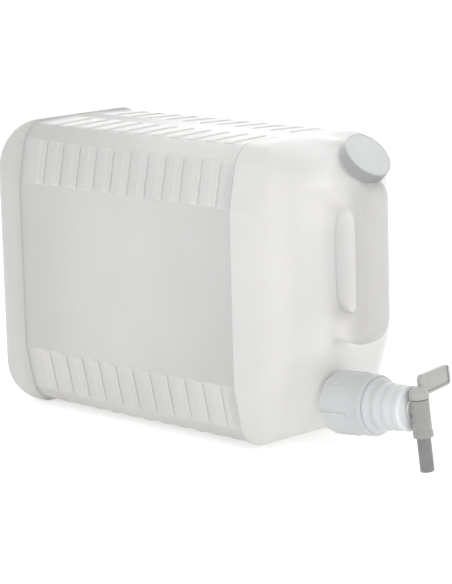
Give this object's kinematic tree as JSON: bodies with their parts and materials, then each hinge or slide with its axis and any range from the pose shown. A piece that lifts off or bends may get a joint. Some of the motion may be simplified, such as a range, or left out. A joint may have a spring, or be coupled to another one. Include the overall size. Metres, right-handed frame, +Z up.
{
  "type": "detergent dispenser bottle",
  "caption": "Rectangular translucent jug lying on its side, ribbed panels, moulded handle, slanted screw fill cap, and a lever tap on a ringed adapter at the lower front.",
  "frame": {"origin": "middle of the flat strip on the underside of the ribbed middle section", "axes": "+X out of the tap end, +Y to the side the lever points to when closed, +Z up"},
  "size_m": [0.5252, 0.183, 0.3173],
  "materials": {
    "hdpe_natural": "translucent natural polyethylene, satin",
    "cap_plastic": "light grey-white moulded polypropylene",
    "foam_liner": "closed-cell foam disc",
    "adapter_plastic": "bluish translucent polyethylene",
    "tap_plastic": "light warm grey polypropylene",
    "nozzle_plastic": "mid grey polyethylene",
    "seal_rubber": "moulded rubber seal",
    "washer_rubber": "pale moulded rubber washer"
  },
  "bodies": {
    "bottle": {"bottle_shell": "hdpe_natural"},
    "liner": {"fill_cap_liner": "foam_liner"},
    "cap": {"fill_cap": "cap_plastic"},
    "adapter": {"adapter_sleeve": "adapter_plastic", "neck_gasket": "seal_rubber", "tap_washer": "washer_rubber"},
    "nut": {"union_nut": "adapter_plastic"},
    "tap": {"tap_body": "tap_plastic", "outlet_nozzle": "nozzle_plastic"},
    "valve": {"valve_plug": "tap_plastic", "plug_oring_upper": "seal_rubber", "plug_oring_lower": "seal_rubber", "tap_lever": "tap_plastic"}
  },
  "joints": [
    {"name": "cap_lift", "type": "slide", "parent": "bottle", "child": "liner", "axis": [0.7314, 0, 0.682], "range_m": [0, 0.0084]},
    {"name": "cap_turn", "type": "hinge", "parent": "liner", "child": "cap", "pos_m": [0.2425, 0, 0.2863], "axis": [0.7314, 0, 0.682], "range_deg": [0, 720]},
    {"name": "adapter_draw", "type": "slide", "parent": "bottle", "child": "adapter", "axis": [0.9969, 0, 0.0785], "range_m": [0, 0.01]},
    {"name": "nut_turn", "type": "hinge", "parent": "adapter", "child": "nut", "pos_m": [0.2007, 0, 0.0396], "axis": [0.9969, 0, 0.0785], "range_deg": [0, 720]},
    {"name": "tap_swivel", "type": "hinge", "parent": "adapter", "child": "tap", "pos_m": [0.30288, 0, 0.04764], "axis": [0.9969, 0, 0.0785], "range_deg": [-90, 90]},
    {"name": "lever_turn", "type": "hinge", "parent": "tap", "child": "valve", "pos_m": [0.30288, 0, 0.04764], "axis": [0.0783, 0.061, -0.9951], "range_deg": [0, 90]}
  ],
  "couplings": [
    {"joint": "cap_turn", "follows": "cap_lift", "rad_per_m": 1496},
    {"joint": "nut_turn", "follows": "adapter_draw", "rad_per_m": 1256.6}
  ]
}
